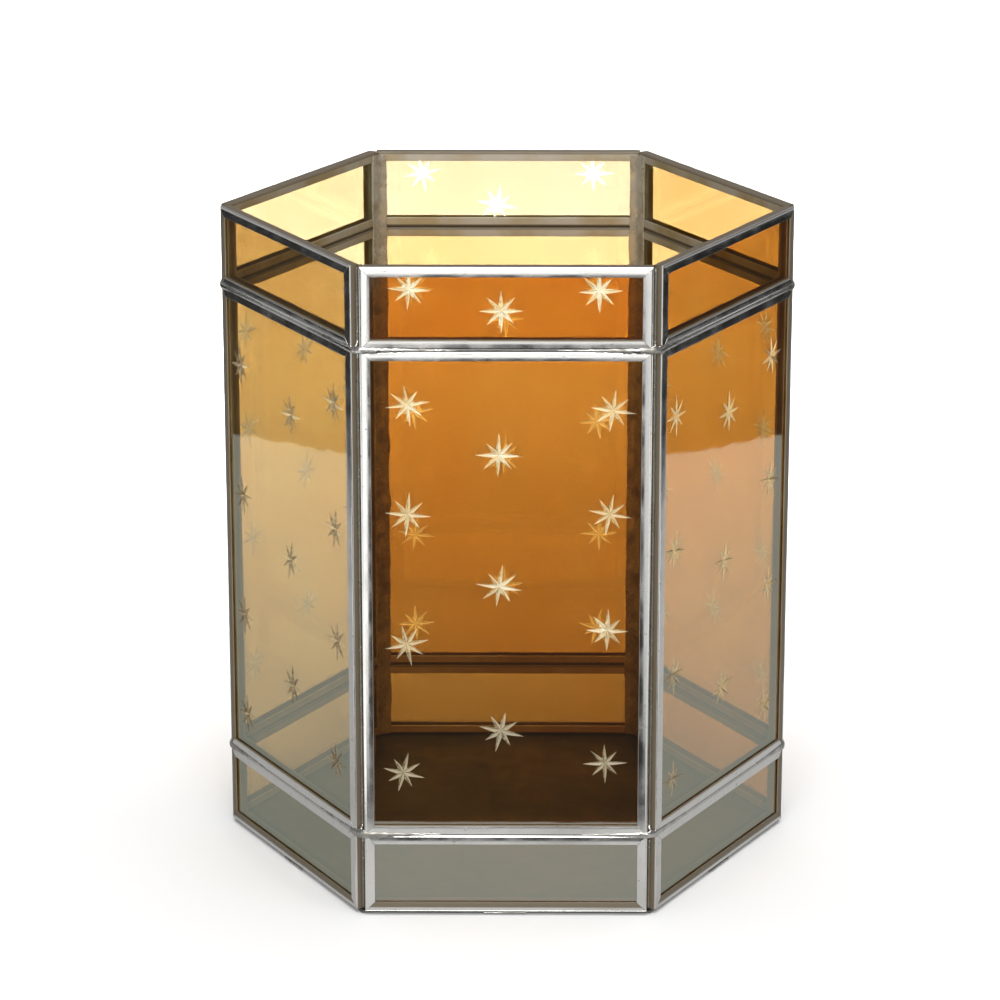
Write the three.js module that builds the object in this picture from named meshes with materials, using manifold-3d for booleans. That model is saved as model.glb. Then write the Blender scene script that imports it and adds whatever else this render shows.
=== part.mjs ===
// Hexagonal tealight holder: three stacked tiers of amber glass panes, each pane held in its own
// folded metal channel frame, the frames soldered edge to edge, on a sheet-metal floor.
// Millimetres, +Z up. The origin is the centre of the underside, and the front face looks along -Y.

import * as THREE from 'three';
import Module from 'manifold-3d';
import { mergeVertices } from 'three/addons/utils/BufferGeometryUtils.js';

const wasm = await Module();
wasm.setup();

// ---- driving dimensions ----
const SIDE = 100;          // side of the hexagon through the outer faces
const TIER_BAND = 27.8;    // height of the short top and bottom frames
const TIER_TALL = 169.4;   // height of the tall middle frames
const CHANNEL_DEPTH = 4.2; // outer face to inner face of a frame
const FLANGE = 3.5;        // how far a channel's flange reaches over the glass
const SHEET = 0.5;         // sheet metal of the channels
const FOLD = 0.8;          // outside radius of a channel's folds
const FOLD_STEPS = 3;      // facets in a quarter turn of a fold
const GLASS = 2.4;
const GLASS_PLAY = 0.4;    // from the glass edge to the back of its channel
const GAP = 0.3;           // between pieces that touch
const FLOOR = 0.8;         // floor sheet
const FLOOR_INSET = 1.6;   // floor edge back from the outer faces

// ---- worked out from them ----
const FACES = 6;
const TURN = 2 * Math.PI / FACES;
const TAN30 = Math.tan(Math.PI / 6);
const COS30 = Math.cos(Math.PI / 6);
const APOTHEM = SIDE * COS30;
const INNER_APOTHEM = APOTHEM - CHANNEL_DEPTH;
// Neighbouring frames meet at the folds of their inner edges, GAP apart.
const HALF_WIDTH = (INNER_APOTHEM + FOLD) * TAN30 + FOLD - (FOLD + GAP / 2) / COS30;
const GROOVE_APEX = 2 * HALF_WIDTH; // where the backs of two neighbouring frames would cross

const BOTTOM_Z = FLOOR + GAP;
const MIDDLE_Z = BOTTOM_Z + TIER_BAND + GAP;
const TOP_Z = MIDDLE_Z + TIER_TALL + GAP;
const RIM_Z = TOP_Z + TIER_BAND;
const SEAMS = [MIDDLE_Z - GAP / 2, TOP_Z - GAP / 2];

const TIERS = [
  { name: 'bottom', z: BOTTOM_Z, height: TIER_BAND },
  { name: 'middle', z: MIDDLE_Z, height: TIER_TALL },
  { name: 'top', z: TOP_Z, height: TIER_BAND },
];

const FACE_NAMES = ['right_back', 'back', 'left_back', 'left_front', 'front', 'right_front'];
const CORNER_NAMES = ['right', 'back_right', 'back_left', 'left', 'front_left', 'front_right'];

// ---- wheel-cut stars ----
// Places across and up, as shares of the frame's half width and of its height. Every tall pane
// has eleven, set high or low by turns; of the top panes only the front and the back have three.
const STARS_HIGH = [
  [-0.68, 0.89], [-0.68, 0.67], [-0.69, 0.40], [-0.72, 0.13],
  [-0.05, 0.79], [-0.05, 0.52], [-0.04, 0.22],
  [0.73, 0.88], [0.72, 0.67], [0.70, 0.43], [0.70, 0.15],
];
const STARS_LOW = [
  [-0.75, 0.85], [-0.75, 0.57], [-0.75, 0.31], [-0.74, 0.09],
  [0.04, 0.80], [0.01, 0.49], [0.01, 0.22],
  [0.71, 0.87], [0.71, 0.61], [0.72, 0.38], [0.69, 0.12],
];
const STARS_BACK = [
  [-0.71, 0.86], [-0.70, 0.56], [-0.71, 0.30], [-0.70, 0.08],
  [0.02, 0.79], [0.02, 0.48], [0.02, 0.18],
  [0.73, 0.86], [0.73, 0.58], [0.73, 0.30], [0.73, 0.09],
];
const STAR_ROWS = {
  bottom: {},
  middle: {
    right_back: STARS_HIGH, left_back: STARS_HIGH, front: STARS_HIGH,
    left_front: STARS_LOW, right_front: STARS_LOW, back: STARS_BACK,
  },
  top: {
    front: [[-0.66, 0.73], [-0.04, 0.46], [0.63, 0.71]],
    back: [[-0.65, 0.68], [0.08, 0.26], [0.66, 0.69]],
  },
};
const STAR_ARM = 6.8;      // centre to tip
const STAR_STROKES = 4;    // crossing cuts, two arms each
const CUT_HALF_WIDTH = 1.25;
const CUT_DEPTH = 0.7;
const STAR_TWIST = 0.12;   // each star is turned a little from its neighbour

// ---- solder ----
const SOLDER_GAP = 0.15;
const BEAD_START = 1.1;    // outward from the apex of the corner groove
const BEAD_END = 2.3;
const BEAD_MARGIN = 0.8;   // short of the rim and of the bottom
const BLOB_OUT = 2.7;      // centre of a crossing's blob, out from the apex
const BLOB_RADIUS = 1.15;
const FIN_LENGTHS = [22, 31]; // along the lower and the upper seam, from each corner
const FIN_ROOT = 1.7;      // half height of a fin at its corner
const FIN_TIP = 0.55;
const FIN_PROUD = 0.45;    // how far a fin's crown stands out at its corner
const FIN_TIP_PROUD = 0.15;
const FIN_KEEL = 0.4;      // how far its keel dips into the seam
const FIN_STATIONS = 4;
const FIN_HEEL = [1.0, -1.2]; // where a fin springs from its blob: past the frame's edge, and back
const FILLET_LEG = 3.0;    // inner corner fillet, along each flange
const FILLET_EDGE = 0.25;
const FILLET_HOLLOW = 1.0; // thickness on the corner's bisector
const TACK_LENGTH = 16;    // solder under each bottom frame, along the floor's edge
const TACK_HEIGHT = 0.6;

const MATERIALS = {
  glass: { color: 0xc8792c, roughness: 0.05, metalness: 0, transparent: true, opacity: 0.55 },
  frame: { color: 0xc9c7c0, roughness: 0.25, metalness: 1 },
  solder: { color: 0x9c9a92, roughness: 0.45, metalness: 1 },
  floor: { color: 0x6f6f68, roughness: 0.6, metalness: 1 },
};

const group = new THREE.Group();
group.name = 'tealight_holder';

function addPiece(name, look, geometry) {
  const mesh = new THREE.Mesh(geometry, new THREE.MeshStandardMaterial(MATERIALS[look]));
  mesh.name = name;
  group.add(mesh);
}

function toManifold(geometry) {
  const bare = new THREE.BufferGeometry();
  bare.setAttribute('position', geometry.getAttribute('position').clone());
  if (geometry.index) {
    bare.setIndex(geometry.index.clone());
  }
  const merged = mergeVertices(bare, 1e-5);
  return new wasm.Manifold(new wasm.Mesh({
    numProp: 3,
    vertProperties: new Float32Array(merged.getAttribute('position').array),
    triVerts: new Uint32Array(merged.index.array),
  }));
}

function toGeometry(solid) {
  const mesh = solid.getMesh();
  const geometry = new THREE.BufferGeometry();
  geometry.setAttribute('position', new THREE.BufferAttribute(new Float32Array(mesh.vertProperties), 3));
  geometry.setIndex(new THREE.BufferAttribute(new Uint32Array(mesh.triVerts), 1));
  const flat = geometry.toNonIndexed();
  flat.computeVertexNormals();
  return flat;
}

function unionOf(solids) {
  return solids.reduce((whole, solid) => whole.add(solid));
}

// A face's own frame: x along the face, y up, z outward, from the foot of the face's centre line.
function faceMatrix(face) {
  const angle = (face + 0.5) * TURN;
  const outward = new THREE.Vector3(Math.cos(angle), Math.sin(angle), 0);
  const up = new THREE.Vector3(0, 0, 1);
  const along = new THREE.Vector3().crossVectors(up, outward);
  const matrix = new THREE.Matrix4().makeBasis(along, up, outward);
  matrix.setPosition(outward.multiplyScalar(APOTHEM));
  return matrix;
}

// Turns a closed mesh's triangles over if they face inwards.
function faceOutwards(geometry) {
  const points = geometry.getAttribute('position');
  const index = geometry.index.array;
  const [a, b, c] = [new THREE.Vector3(), new THREE.Vector3(), new THREE.Vector3()];
  let volume = 0;
  for (let i = 0; i < index.length; i += 3) {
    a.fromBufferAttribute(points, index[i]);
    b.fromBufferAttribute(points, index[i + 1]);
    c.fromBufferAttribute(points, index[i + 2]);
    volume += a.dot(b.cross(c));
  }
  if (volume < 0) {
    for (let i = 0; i < index.length; i += 3) {
      [index[i], index[i + 1]] = [index[i + 1], index[i]];
    }
  }
  return geometry;
}

// A closed mesh through rings of points, each ring the same closed outline at another place.
function loftRings(rings, closed) {
  const count = rings[0].length;
  const points = rings.flat();
  const triangles = [];
  const last = closed ? rings.length : rings.length - 1;
  for (let ring = 0; ring < last; ring += 1) {
    const here = ring * count;
    const there = ((ring + 1) % rings.length) * count;
    for (let j = 0; j < count; j += 1) {
      const k = (j + 1) % count;
      triangles.push(here + j, there + j, there + k);
      triangles.push(here + j, there + k, here + k);
    }
  }
  if (!closed) {
    const flatRing = rings[0].map((point) => new THREE.Vector2(point[1], point[2]));
    const end = (rings.length - 1) * count;
    for (const [a, b, c] of THREE.ShapeUtils.triangulateShape(flatRing, [])) {
      triangles.push(a, b, c);
      triangles.push(end + a, end + c, end + b);
    }
  }
  const geometry = new THREE.BufferGeometry();
  geometry.setAttribute('position', new THREE.BufferAttribute(new Float32Array(points.flat()), 3));
  geometry.setIndex(triangles);
  return faceOutwards(geometry);
}

// ---- frames ----

// Points of a quarter turn about a centre, from one angle to another a right angle away.
function foldArc(inset, depth, radius, from, to) {
  const arc = [];
  for (let step = 0; step <= FOLD_STEPS; step += 1) {
    const angle = from + (to - from) * step / FOLD_STEPS;
    arc.push([inset + radius * Math.cos(angle), depth + radius * Math.sin(angle)]);
  }
  return arc;
}

// The channel's section as [inset from the frame's edge, depth behind its outer face].
function channelSection() {
  const quarter = Math.PI / 2;
  const inner = FOLD - SHEET;
  const back = CHANNEL_DEPTH - FOLD;
  return [
    [FLANGE, 0],
    ...foldArc(FOLD, FOLD, FOLD, -quarter, -2 * quarter),
    ...foldArc(FOLD, back, FOLD, 2 * quarter, quarter),
    [FLANGE, CHANNEL_DEPTH],
    [FLANGE, CHANNEL_DEPTH - SHEET],
    ...foldArc(FOLD, back, inner, quarter, 2 * quarter),
    ...foldArc(FOLD, FOLD, inner, -2 * quarter, -quarter),
    [FLANGE, SHEET],
  ];
}

// The channel run round a rectangle, mitred at the corners.
function frameGeometry(tier) {
  const section = channelSection();
  const corners = [[-1, 0], [1, 0], [1, 1], [-1, 1]];
  const rings = corners.map(([side, top]) => section.map(([inset, depth]) => [
    side * (HALF_WIDTH - inset),
    top ? tier.height - inset : inset,
    -depth,
  ]));
  return toGeometry(toManifold(loftRings(rings, true)));
}

// ---- panes ----

// One double-pointed cut of a V-edged wheel, centred on the glass face.
function wheelCut(turn) {
  const cut = new THREE.OctahedronGeometry(1);
  cut.scale(STAR_ARM, CUT_HALF_WIDTH, CUT_DEPTH);
  cut.rotateZ(turn);
  return toManifold(cut);
}

function starCutter(twist) {
  const cuts = [];
  for (let stroke = 0; stroke < STAR_STROKES; stroke += 1) {
    cuts.push(wheelCut(twist + stroke * Math.PI / STAR_STROKES));
  }
  return unionOf(cuts);
}

// The pane of one face, with its stars sunk in the outer side.
function paneGeometry(tier, face) {
  const edge = SHEET + GLASS_PLAY;
  const width = 2 * (HALF_WIDTH - edge);
  const height = tier.height - 2 * edge;
  const slab = new THREE.BoxGeometry(width, height, GLASS);
  slab.translate(0, tier.height / 2, -CHANNEL_DEPTH / 2);
  let pane = toManifold(slab);
  const outer = (GLASS - CHANNEL_DEPTH) / 2;
  const rows = STAR_ROWS[tier.name][FACE_NAMES[face]] ?? [];
  rows.forEach(([across, up], index) => {
    const twist = STAR_TWIST * Math.sin(index + 2 * face);
    const cutter = starCutter(twist).translate([across * HALF_WIDTH, up * tier.height, outer]);
    pane = pane.subtract(cutter);
  });
  return toGeometry(pane);
}

function addTier(tier) {
  FACE_NAMES.forEach((faceName, face) => {
    const place = faceMatrix(face);
    place.multiply(new THREE.Matrix4().makeTranslation(0, tier.z, 0));
    addPiece(`frame_${tier.name}_${faceName}`, 'frame', frameGeometry(tier).applyMatrix4(place));
    addPiece(`pane_${tier.name}_${faceName}`, 'glass', paneGeometry(tier, face).applyMatrix4(place));
  });
}

// ---- solder ----

// A prism on a plan outline given as [outward, across] about a corner's bisector.
function cornerPrism(outline, bottom, top, angle) {
  const shape = new THREE.Shape(outline.map(([out, across]) => new THREE.Vector2(out, across)));
  const prism = new THREE.ExtrudeGeometry(shape, { depth: top - bottom, bevelEnabled: false });
  prism.translate(0, 0, bottom);
  prism.rotateZ(angle);
  return prism;
}

// The thin run of solder at the bottom of a corner groove.
function grooveBead(angle) {
  const halfAt = (out) => out * TAN30 - GAP / COS30;
  const outline = [
    [GROOVE_APEX + BEAD_START, -halfAt(BEAD_START)],
    [GROOVE_APEX + BEAD_END, -halfAt(BEAD_END)],
    [GROOVE_APEX + BEAD_END - FILLET_EDGE, 0],
    [GROOVE_APEX + BEAD_END, halfAt(BEAD_END)],
    [GROOVE_APEX + BEAD_START, halfAt(BEAD_START)],
  ];
  return toManifold(cornerPrism(outline, BOTTOM_Z + BEAD_MARGIN, RIM_Z - BEAD_MARGIN, angle));
}

function crossingBlob(angle, z) {
  const blob = new THREE.IcosahedronGeometry(BLOB_RADIUS, 1);
  blob.translate(GROOVE_APEX + BLOB_OUT, 0, z);
  blob.rotateZ(angle);
  return toManifold(blob);
}

// The tapering run of solder over a seam, from a corner's blob towards the middle of a face.
function seamFin(face, side, z, length) {
  const path = [[HALF_WIDTH + FIN_HEEL[0], FIN_HEEL[1], 0]];
  for (let station = 0; station <= FIN_STATIONS; station += 1) {
    const share = station / FIN_STATIONS;
    path.push([HALF_WIDTH - SOLDER_GAP - share * length, SOLDER_GAP, share]);
  }
  const rings = path.map(([along, base, share]) => {
    const half = THREE.MathUtils.lerp(FIN_ROOT, FIN_TIP, share);
    const crown = base + THREE.MathUtils.lerp(FIN_PROUD, FIN_TIP_PROUD, share);
    const keel = base - SOLDER_GAP - FIN_KEEL;
    const outline = [
      [0, keel], [FIN_TIP / 2, base], [half, base], [half / 2, crown],
      [-half / 2, crown], [-half, base], [-FIN_TIP / 2, base],
    ];
    return outline.map(([up, out]) => [side * along, z + up, out]);
  });
  return toManifold(loftRings(rings, false).applyMatrix4(faceMatrix(face)));
}

// A corner lies between the face before it (its far side) and its own face (its near side).
function cornerSolder(corner) {
  const angle = corner * TURN;
  const before = (corner + FACES - 1) % FACES;
  const solids = [grooveBead(angle)];
  SEAMS.forEach((z, seam) => {
    solids.push(crossingBlob(angle, z));
    solids.push(seamFin(corner, -1, z, FIN_LENGTHS[seam]));
    solids.push(seamFin(before, 1, z, FIN_LENGTHS[seam]));
  });
  return toGeometry(unionOf(solids));
}

// The fillet that joins two neighbouring frames along their inner corner.
function innerFillet(corner) {
  const apex = INNER_APOTHEM / COS30 - GAP / COS30;
  const tipOut = apex - FILLET_LEG / 2;
  const tipAcross = FILLET_LEG * COS30;
  const outline = [
    [apex, 0], [tipOut, tipAcross], [tipOut - FILLET_EDGE, tipAcross],
    [apex - FILLET_HOLLOW, 0],
    [tipOut - FILLET_EDGE, -tipAcross], [tipOut, -tipAcross],
  ];
  const prism = cornerPrism(outline, BOTTOM_Z + BEAD_MARGIN, RIM_Z - BEAD_MARGIN, corner * TURN);
  return toGeometry(toManifold(prism));
}

function addSolder() {
  CORNER_NAMES.forEach((cornerName, corner) => {
    addPiece(`solder_${cornerName}`, 'solder', cornerSolder(corner));
    addPiece(`fillet_${cornerName}`, 'solder', innerFillet(corner));
  });
}

// ---- floor ----

function hexagonPrism(apothem, bottom, top) {
  const prism = new THREE.CylinderGeometry(apothem / COS30, apothem / COS30, top - bottom, FACES);
  prism.rotateX(Math.PI / 2);
  prism.rotateZ(TURN / 2);
  prism.translate(0, 0, (top + bottom) / 2);
  return toGeometry(toManifold(prism));
}

// Solder in the step between the floor's edge and the frame above it.
function floorTack(face) {
  const inner = GAP - FLOOR_INSET;
  const middle = (inner - SOLDER_GAP) / 2;
  const tack = new THREE.BoxGeometry(TACK_LENGTH, TACK_HEIGHT, -SOLDER_GAP - inner);
  tack.translate(0, SOLDER_GAP + TACK_HEIGHT / 2, middle);
  return tack.applyMatrix4(faceMatrix(face));
}

function addFloor() {
  addPiece('floor_plate', 'floor', hexagonPrism(APOTHEM - FLOOR_INSET, 0, FLOOR));
  FACE_NAMES.forEach((faceName, face) => {
    addPiece(`tack_${faceName}`, 'solder', floorTack(face));
  });
}

addFloor();
TIERS.forEach(addTier);
addSolder();

export default group;
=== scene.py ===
"""Looks of the hexagonal amber glass tealight holder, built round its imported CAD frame."""

import math
import random

import bmesh
import bpy
from mathutils import Matrix, Vector, noise
from mathutils.geometry import delaunay_2d_cdt


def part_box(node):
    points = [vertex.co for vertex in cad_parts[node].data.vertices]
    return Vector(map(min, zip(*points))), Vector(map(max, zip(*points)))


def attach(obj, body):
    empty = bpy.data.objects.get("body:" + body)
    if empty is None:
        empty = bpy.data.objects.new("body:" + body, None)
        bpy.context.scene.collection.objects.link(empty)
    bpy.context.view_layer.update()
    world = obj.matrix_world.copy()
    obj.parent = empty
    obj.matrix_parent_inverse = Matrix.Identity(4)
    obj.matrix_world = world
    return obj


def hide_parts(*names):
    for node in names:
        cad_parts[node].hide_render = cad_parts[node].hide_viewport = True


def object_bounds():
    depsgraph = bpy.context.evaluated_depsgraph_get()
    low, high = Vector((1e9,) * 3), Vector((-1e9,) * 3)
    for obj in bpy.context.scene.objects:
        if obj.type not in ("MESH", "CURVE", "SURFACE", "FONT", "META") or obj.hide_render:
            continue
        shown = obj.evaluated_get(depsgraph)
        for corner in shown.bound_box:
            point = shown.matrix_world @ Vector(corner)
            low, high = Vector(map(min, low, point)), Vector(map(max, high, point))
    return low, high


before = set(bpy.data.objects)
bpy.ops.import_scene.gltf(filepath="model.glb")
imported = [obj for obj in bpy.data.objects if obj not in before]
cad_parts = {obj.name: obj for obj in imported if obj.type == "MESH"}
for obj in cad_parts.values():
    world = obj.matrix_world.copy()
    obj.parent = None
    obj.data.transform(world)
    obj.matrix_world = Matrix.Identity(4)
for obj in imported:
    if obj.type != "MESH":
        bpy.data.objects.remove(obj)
CAD_LOW, CAD_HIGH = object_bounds()

MM = 0.001

# ---- places and sizes, from the frame ----
FACE_NAMES = ("right_back", "back", "left_back", "left_front", "front", "right_front")
CORNER_NAMES = ("right", "back_right", "back_left", "left", "front_left", "front_right")
TIER_NAMES = ("bottom", "middle", "top")
FACES = len(FACE_NAMES)
TURN = 2 * math.pi / FACES
COS30 = math.cos(math.pi / 6)

front_low, front_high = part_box("frame_middle_front")
glass_low, glass_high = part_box("pane_middle_front")
plate_low, plate_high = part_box("floor_plate")

HALF_WIDTH = front_high.x
APOTHEM = -front_low.y
INNER_APOTHEM = -front_high.y
CHANNEL_DEPTH = APOTHEM - INNER_APOTHEM
GROOVE_APEX = 2 * HALF_WIDTH
GLASS_OUTER = -glass_low.y
GLASS_INNER = -glass_high.y
GLASS_EDGE = HALF_WIDTH - glass_high.x
TIER_Z = {}
for tier_name in TIER_NAMES:
    tier_low, tier_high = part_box(f"frame_{tier_name}_front")
    TIER_Z[tier_name] = (tier_low.z, tier_high.z)
SEAMS = (
    (TIER_Z["bottom"][1] + TIER_Z["middle"][0]) / 2,
    (TIER_Z["middle"][1] + TIER_Z["top"][0]) / 2,
)
BOTTOM_Z = TIER_Z["bottom"][0]
RIM_Z = TIER_Z["top"][1]
MIDDLE = (CAD_LOW + CAD_HIGH) / 2
OTHER_NOISE = Vector((9, 9, 9))     # far enough for the noise to be another one

# ---- sizes of the channel frames ----
FLANGE = 3.5 * MM
SHEET = 0.5 * MM
FOLD = 0.85 * MM
FOLD_STEPS = 5
STATION = 5.0 * MM
SEAM_CLOSE = 0.12 * MM      # the shown frames meet, where the CAD frames leave a gap
FLANGE_CROWN = 0.24 * MM    # a flange falls away towards its fold
CROWN_POWER = 1.5
LIP_DROP = 0.10 * MM        # the free edge is turned in onto the glass
LIP_FROM, LIP_LONG = 0.8, 0.2       # from this share of the flange on
TILT_RANGE = (-0.04 * MM, 0.10 * MM)    # a flange falls away this much more
MITRE_HALF = 0.14 * MM
MITRE_DEEP = 0.22 * MM
WAVE = 0.05 * MM            # unevenness of the hand-folded sheet
WAVE_LENGTH = 26 * MM
RIPPLE = 0.01 * MM
RIPPLE_LENGTH = 6 * MM
INNER_WAVE = 0.4            # share of the waves that the inner side has
EDGE_WAVE = 0.8             # share of the waves that wander along the glass
EDGE_CHAMFER = 0.12 * MM
SHADE_AND_STRIP = 0.5                # the frames' attribute of dullness and painted shade: 0 is bright; this value is painted shade on the webs, folds and free edges, and the darker strips on the lips and uprights
INSIDE = 1.0                # and this is the dull inner side
DARK_STRIP_UPRIGHTS = {"left_front": 3, "right_front": 1}   # the sides at the left and right corners, darker over most of the flange
UPRIGHT_FROM = 0.2
WANDER_FROM = 0.7           # how far in from the fold the flange's edge wanders
FRAME_SHARP = math.radians(32)
LEANING_FLANGES = {("top", "front", 0): -0.24 * MM}     # fall the other way, by this at the fold
# the lip along each frame's lower side is darker from this share of the flange on
DARK_STRIP_FROM = {"bottom": 0.45, "middle": 0.9, "top": 0.9}

# ---- wheel-cut stars: across and up, as shares of the frame's half width and of its height ----
STARS_HIGH = (
    (-0.68, 0.89), (-0.68, 0.67), (-0.69, 0.40), (-0.72, 0.13),
    (-0.05, 0.79), (-0.05, 0.52), (-0.04, 0.22),
    (0.73, 0.88), (0.72, 0.67), (0.70, 0.43), (0.70, 0.15),
)
STARS_LOW = (
    (-0.75, 0.85), (-0.75, 0.57), (-0.75, 0.31), (-0.74, 0.09),
    (0.04, 0.80), (0.01, 0.49), (0.01, 0.22),
    (0.71, 0.87), (0.71, 0.61), (0.72, 0.38), (0.69, 0.12),
)
STARS_BACK = (
    (-0.71, 0.86), (-0.70, 0.56), (-0.71, 0.30), (-0.70, 0.08),
    (0.02, 0.79), (0.02, 0.48), (0.02, 0.18),
    (0.73, 0.86), (0.73, 0.58), (0.73, 0.30), (0.73, 0.09),
)
STARS = {
    ("middle", "right_back"): STARS_HIGH,
    ("middle", "left_back"): STARS_HIGH,
    ("middle", "front"): STARS_HIGH,
    ("middle", "left_front"): STARS_LOW,
    ("middle", "right_front"): STARS_LOW,
    ("middle", "back"): STARS_BACK,
    ("top", "front"): ((-0.66, 0.73), (-0.04, 0.46), (0.63, 0.71)),
    ("top", "back"): ((-0.65, 0.68), (0.08, 0.26), (0.66, 0.69)),
}
ARMS = 8
ARM_LENGTH = 7.4 * MM
SHORT_ARM = 0.86            # the diagonal arms against the upright and level ones
ARM_SPREAD = 0.09           # share that an arm is longer or shorter than the rest
CUT_HALF_WIDTH = 0.85 * MM
CUT_DEPTH = 0.75 * MM
OUTLINE_STEPS = 4
WIDTH_RANGE = (0.85, 1.15)
STAR_TWIST = 0.25
STAR_SHIFT = 0.3 * MM
PAINTED_LIGHT_SIDE = Vector((-0.8, 0.6))   # across and up: slopes that lean this way get the painted lit tint, the others the painted shade, as if lit from this side

# ---- sizes of the solder ----
BEAD_OUT = 1.35 * MM
BEAD_RADIUS = 0.68 * MM
BEAD_SWELL = 0.25
BEAD_WAVE = 9 * MM
BEAD_WANDER = 0.1 * MM
BEAD_TALL = 1.2             # height of a bead's lump against its width
BEAD_OVERLAP = 0.9          # from one lump to the next, against its radius
END_MARGIN = 1.0 * MM       # the bead stops this short of the foot and the rim
BRIGHT_REACH = 3.2 * MM     # solder farther than this from a seam gets the darker solder: painted shade in the corner groove
BLOBS = 4
BLOB_OUT = 1.9 * MM
BLOB_RADIUS = 1.1 * MM
BLOB_SIZES = (0.6, 1.0)
BLOB_FLAT = 0.75
BLOB_SHIFT = (-0.5 * MM, 0.3 * MM)
BLOB_RISE = 1.8 * MM
RUN_LENGTHS = (24 * MM, 31 * MM)        # of the runs along the two seams
RUN_SPREAD = (0.85, 1.12)
RUN_START = -1.2 * MM
RUN_STEP = 0.8 * MM
RUN_LONG = 1.5 * MM
RUN_WANDER = 0.12 * MM
RUN_TALL, RUN_TALL_LOSS = 1.55 * MM, 1.0 * MM       # half height at the corner, and less at the end
RUN_THICK, RUN_THICK_LOSS = 0.62 * MM, 0.30 * MM
RUN_SUNK, RUN_SUNK_GAIN = 0.30 * MM, 0.25 * MM
RUN_TAPER = 0.7
LUMP_SPREAD = (0.85, 1.15)
SOLDER_VOXEL = 0.33 * MM
FILLET_LEG = 3.4 * MM
SIDE_FILLET = 0.25          # width of the fillets at the left and right corners against the rest
FILLET_HOLLOW = 1.1 * MM
FILLET_STEP = 1.4 * MM
FILLET_EDGE = 0.18 * MM
FILLET_BULGE = 0.35 * MM
FILLET_APEX = 0.4 * MM      # how far it goes into the corner behind it
FILLET_LOW, FILLET_HIGH = 0.5 * MM, 0.3 * MM        # short of the foot and of the rim
FILLET_WIDE_WAVE, FILLET_WIDE_LENGTH = 0.22, 11 * MM
FILLET_DEEP_WAVE, FILLET_DEEP_LENGTH = 0.35, 5 * MM
FILLET_SHARP = math.radians(50)
TACK_REACH = 7.0 * MM
TACK_STEP = 0.7 * MM
TACK_SIZE = (1.1 * MM, 0.6 * MM, 0.32 * MM)
TACK_SPREAD = (0.85, 1.1)

# ---- sizes of the floor plate ----
FLOOR_STEPS = 22
FLOOR_BUCKLE = 0.35 * MM
FLOOR_WAVE = 45 * MM
FLOOR_SHARP = math.radians(40)

# ---- colours, linear ----
AMBER_PASS = (0.92, 0.626, 0.27)    # what a skin of depth 1 lets through
CUT_CLEAR = (0.97, 0.94, 0.84)
# the colours of the stars' slopes: painted light and shade on the cuts
CUT_LIGHT = (0.93, 0.86, 0.66)
CUT_PALE = (0.84, 0.75, 0.53)
CUT_SAND = (0.58, 0.49, 0.32)
CUT_DARK = (0.36, 0.29, 0.17)
CUT_BROWN = (0.12, 0.085, 0.045)
PLATE_BRIGHT = (0.72, 0.71, 0.68)
PLATE_STAIN = (0.20, 0.19, 0.16)
SHADE_AND_STRIP_OLIVE = (0.13, 0.105, 0.07)  # painted shade on the webs, in the corner grooves and on the groove solder; also the darker strips on the lips and uprights
TIN_GREY = (0.40, 0.37, 0.31)       # the dull inner side
TIN_BRASS = (0.32, 0.26, 0.15)
SOLDER_GREY = (0.52, 0.51, 0.48)
SOLDER_DARK = (0.20, 0.19, 0.16)
# the groove solder's colour: painted shade
GROOVE_SHADE_GREY = (0.17, 0.16, 0.13)
FILLET_PALE = (0.50, 0.48, 0.42)
FILLET_DARK = (0.24, 0.21, 0.15)
FLOOR_GREY = (0.075, 0.075, 0.066)
FLOOR_PALE = (0.15, 0.145, 0.125)
GLASS_PASS = (0.86, 0.87, 0.85)     # the clear sheet under the skin
SKIN_REFLECTANCE = 0.30
CLEAR_REFLECTANCE = 0.06
GLASS_GLEAM = (0.86, 0.97, 0.84)

# ---- finish of the surfaces ----
GLASS_ROUGHNESS = 0.03
CUT_ROUGHNESS = 0.22
CUT_REFLECTANCE = 0.05
CUT_THROUGH = 0.5           # share of a frosted slope's light that goes on through it
SHADE_AND_STRIP_METALLIC = 0.25
INSIDE_METALLIC = 0.55
DULL_ROUGHNESS = 0.34       # roughness that the darkened parts and the inner side add

# ---- noises over the surfaces: features per metre ----
GLASS_CLOUD, GLASS_STREAK, GLASS_WAVE = 14, 60, 35
CUT_GRAIN = 900
PLATE_CLOUD, PLATE_SPECK, PLATE_SMEAR = 30, 700, 120
PLATE_DENT, PLATE_GRAIN = 70, 1500
TIN_PATCH = 55
SOLDER_STAIN, SOLDER_PIT = 160, 700
FLOOR_CLOUD, FLOOR_SMEAR, FLOOR_SCRATCH = 22, 80, 400

# ---- depth of the amber skin on each face's panes, set face by face ----
TALL_DEPTH = {"front": 1.75, "back": 1.05}
AMBER_DEPTH = {
    "front": 2.20, "back": 0.62,
    "left_front": 0.88, "left_back": 0.84,
    "right_front": 1.48, "right_back": 1.33,
}
DEPTH_SPREAD = 0.08

# ---- the stars' two slopes: how frosted, and the two colours of their grain; one slope is painted lit and the other painted in shade, and the side panes' stars are painted darker ----
STAR_PAINTED_LOOKS = {
    "front": ((0.55, CUT_LIGHT, CUT_PALE), (0.41, CUT_PALE, CUT_DARK)),
    "side": ((0.50, CUT_PALE, CUT_SAND), (0.80, CUT_DARK, CUT_BROWN)),
    "back": ((0.65, CUT_LIGHT, CUT_PALE), (0.45, CUT_PALE, CUT_DARK)),
}
LOOK_OF_FACE = {
    "front": "front", "left_front": "side", "right_front": "side",
    "back": "back", "left_back": "back", "right_back": "back",
}

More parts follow.
